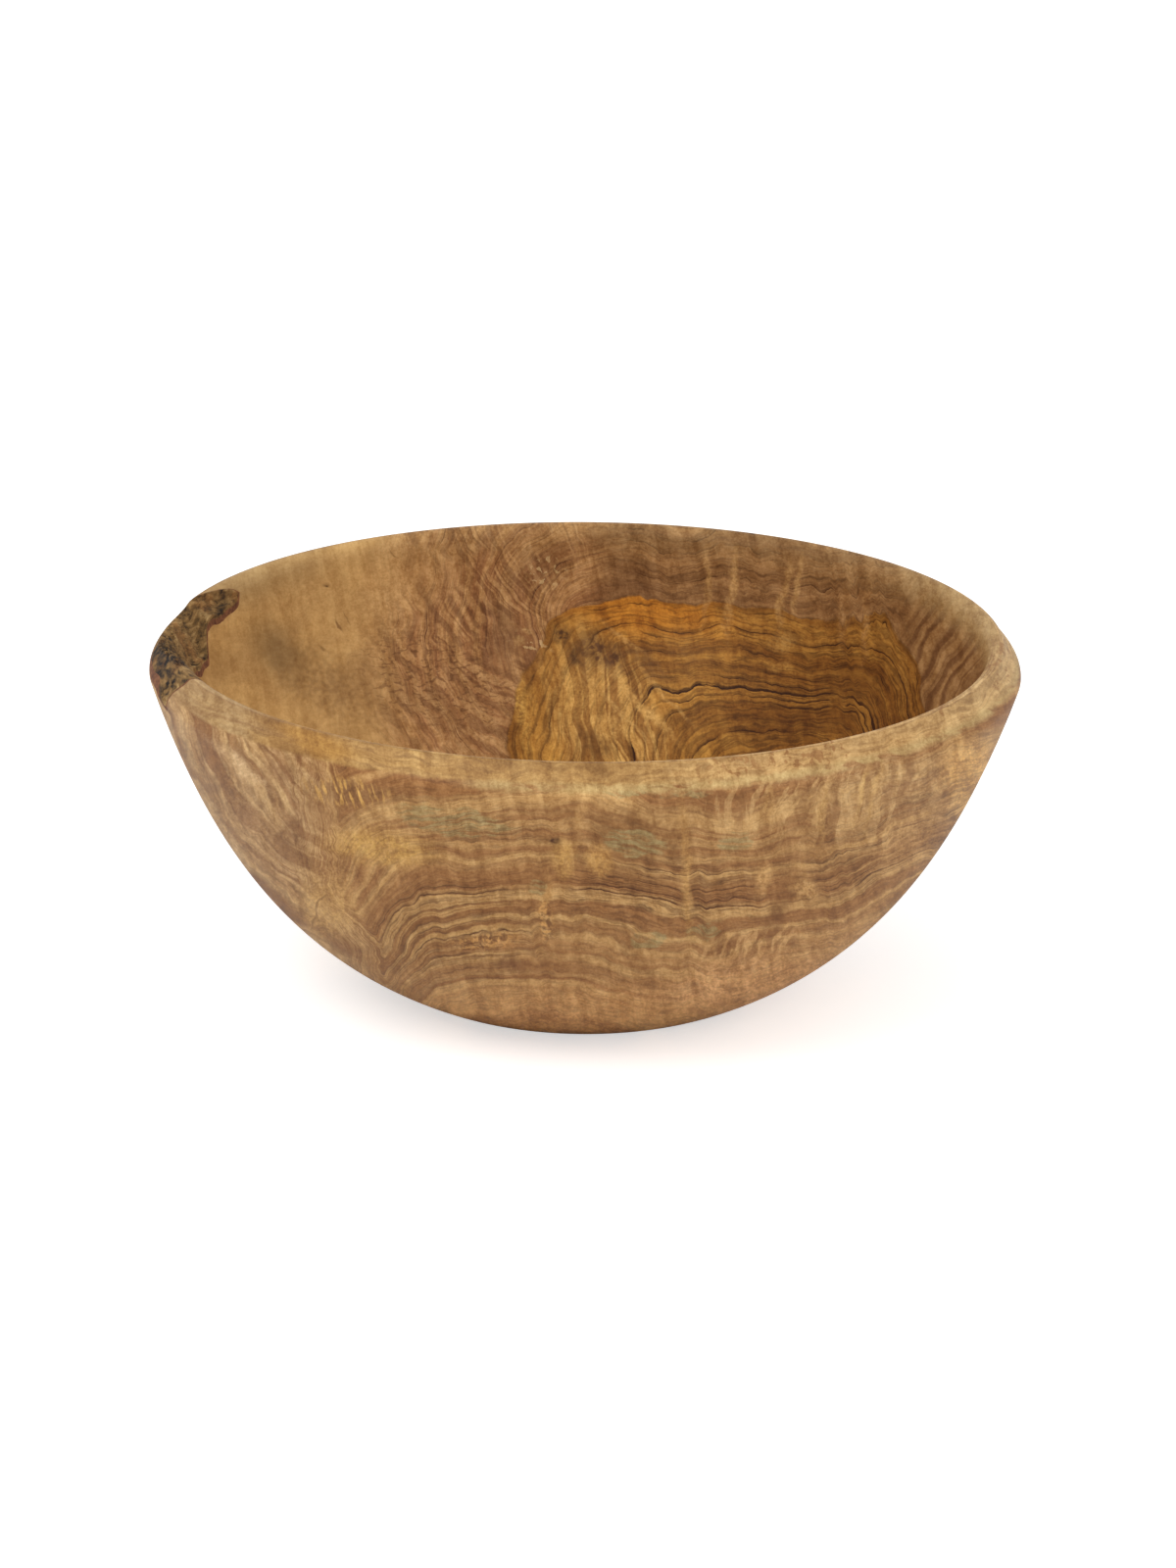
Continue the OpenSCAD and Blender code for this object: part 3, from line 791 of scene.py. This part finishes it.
# Painted highlight: a pale band just under the shoulder crease, where the crease catches the light,
# broken up by noise.
pale = (height + 2 * outside.noise(ragged, 5.0) - 1).hill(116.4, 2.4)
pale = pale * rough_right.rise(-50, -30) * highlight_breakup
skin = outside.mix(rim, skin, outside.rim(ragged))
skin = outside.mix(pale * 0.7, skin, dye(196, 166, 116))
skin = outside.ribbons(skin, 0.85, 0.84)
outside.oiled(skin, 0.25)

dress(bowl, outside, inside)
for facet in bowl.data.polygons:
    across = math.hypot(facet.center.x, facet.center.y)
    outward = facet.normal.x * facet.center.x + facet.normal.y * facet.center.y
    facet.material_index = int(facet.center.z > 1 * mm and across < crown_radius and (
        outward < 0 or facet.normal.z > 0.5))

# The bark. The inner bark is fibrous and red-brown. The crust is ochre-brown on its
# flaky ridges and nearly black in its cracks, which is kept on the mesh as a value.
bast = Finish("bark_red")
fibre = bast.noise(bast.spot(), 2.5, 4.0, 0.65).rise(0.35, 0.65)
bast.coat(bast.mix(fibre, dye(98, 60, 42), dye(142, 94, 62)), 0.75, 0.2)
dress(inner_bark, bast)

ridge = outer_bark.data.attributes.new("ridge", "FLOAT", "POINT")
for vert, flaky in zip(outer_bark.data.vertices, ridge.data):
    angle = math.degrees(math.atan2(vert.co.y, vert.co.x)) % 360
    flaky.value = 0.5 + 0.5 * fissures(angle, math.hypot(vert.co.x, vert.co.y), vert.co.z)
crust = Finish("bark_crust")
place = crust.spot()
height = crust.node("ShaderNodeAttribute", {"attribute_name": "ridge"}, output=2)
flake = crust.noise(crust.vector("MULTIPLY", place, (1.0, 0.6, 1.6)), 2.2, 5.0, 0.7)
scorched = crust.length(crust.vector("SUBTRACT", place, (-140, -20, 121))).rise(34, 12)
tone = (height * 0.85 + flake * 1.05 - 0.46 - 0.26 * scorched).held(0, 1)
bark = crust.node("ShaderNodeValToRGB", {"stops": (
    (0.1, dye(26, 20, 17)), (0.3, dye(76, 56, 34)), (0.5, dye(122, 92, 52)),
    (0.68, dye(145, 111, 66)), (0.9, dye(172, 139, 90)))},
    {"Fac": tone})
stain = crust.noise(place, 9, 2.0).rise(0.5, 0.66)
bark = crust.mix(stain * 0.5, bark, crust.mix(tone, dye(68, 42, 24), dye(168, 114, 58)))
crust.coat(bark, 0.8, 0.25)
grit = crust.node("ShaderNodeBump", None, {"Strength": 0.7, "Distance": 0.4 * mm, "Height": flake})
crust.fill(crust.shader.inputs["Normal"], grit)
dress(outer_bark, crust)

# The studio. A pale floor and a white surround, which the camera sees as plain white,
# and two wide soft lamps in front, the stronger one at the left.
floor_size, floor_colour, floor_glow = 6, (0.85, 0.85, 0.85, 1), 0.55
surround_light, surround_seen = 0.76, 1.0
floor_mesh = bpy.data.meshes.new("floor")
floor_form = bmesh.new()
bmesh.ops.create_grid(floor_form, x_segments=1, y_segments=1, size=floor_size)
floor_form.to_mesh(floor_mesh)
floor_form.free()
floor = bpy.data.objects.new("floor", floor_mesh)
bpy.context.collection.objects.link(floor)
white = bpy.data.materials.new("floor_white")
white.use_nodes = True
tree = white.node_tree
tree.nodes.clear()
out = tree.nodes.new("ShaderNodeOutputMaterial")
add = tree.nodes.new("ShaderNodeAddShader")
diffuse = tree.nodes.new("ShaderNodeBsdfDiffuse")
diffuse.inputs["Color"].default_value = floor_colour
glow = tree.nodes.new("ShaderNodeEmission")
path = tree.nodes.new("ShaderNodeLightPath")
tree.links.new(diffuse.outputs[0], add.inputs[0])
tree.links.new(glow.outputs[0], add.inputs[1])
tree.links.new(add.outputs[0], out.inputs[0])
scale = tree.nodes.new("ShaderNodeMath")
scale.operation = "MULTIPLY"
scale.inputs[1].default_value = floor_glow
tree.links.new(path.outputs["Is Camera Ray"], scale.inputs[0])
tree.links.new(scale.outputs[0], glow.inputs["Strength"])
floor_mesh.materials.append(white)

world = bpy.data.worlds.new("studio")
bpy.context.scene.world = world
world.use_nodes = True
tree = world.node_tree
sky = tree.nodes["Background"]
sky.inputs["Color"].default_value = (1, 1, 1, 1)
path = tree.nodes.new("ShaderNodeLightPath")
level = tree.nodes.new("ShaderNodeMapRange")
level.inputs["To Min"].default_value = surround_light
level.inputs["To Max"].default_value = surround_seen
tree.links.new(path.outputs["Is Camera Ray"], level.inputs["Value"])
tree.links.new(level.outputs[0], sky.inputs["Strength"])


def lamp(name, place, aim, size, power):
    """A square soft box at a place, turned towards a point."""
    light = bpy.data.lights.new(name, "AREA")
    light.shape, light.size, light.energy = "SQUARE", size, power
    box = bpy.data.objects.new(name, light)
    box.location = place
    box.rotation_euler = (Vector(aim) - Vector(place)).to_track_quat("-Z", "Y").to_euler()
    bpy.context.collection.objects.link(box)


lamp("key", (-0.9, -1.0, 1.5), (0, 0, 0.06), 0.9, 11.5)
lamp("fill", (1.3, -0.9, 0.9), (0, 0, 0.06), 1.0, 5)

# The camera looks down on the front of the bowl from about eye height at a table,
# 1.8 m away through a long lens.
camera = bpy.data.objects.new("camera", bpy.data.cameras.new("camera"))
camera.data.lens = 118.83
camera.data.sensor_width = 36
camera_distance, elevation, roll = 1.8, 0.3158, 0.0067
look_at = Vector((1.245, 0, 69.5)) * mm
away = Vector((0, -math.cos(elevation), math.sin(elevation)))
camera.matrix_world = (
    Matrix.Translation(look_at + camera_distance * away)
    @ Matrix.Rotation(math.pi / 2 - elevation, 4, "X")
    @ Matrix.Rotation(roll, 4, "Z")
)
bpy.context.collection.objects.link(camera)
bpy.context.scene.camera = camera
bpy.context.scene.view_settings.view_transform = "Standard"
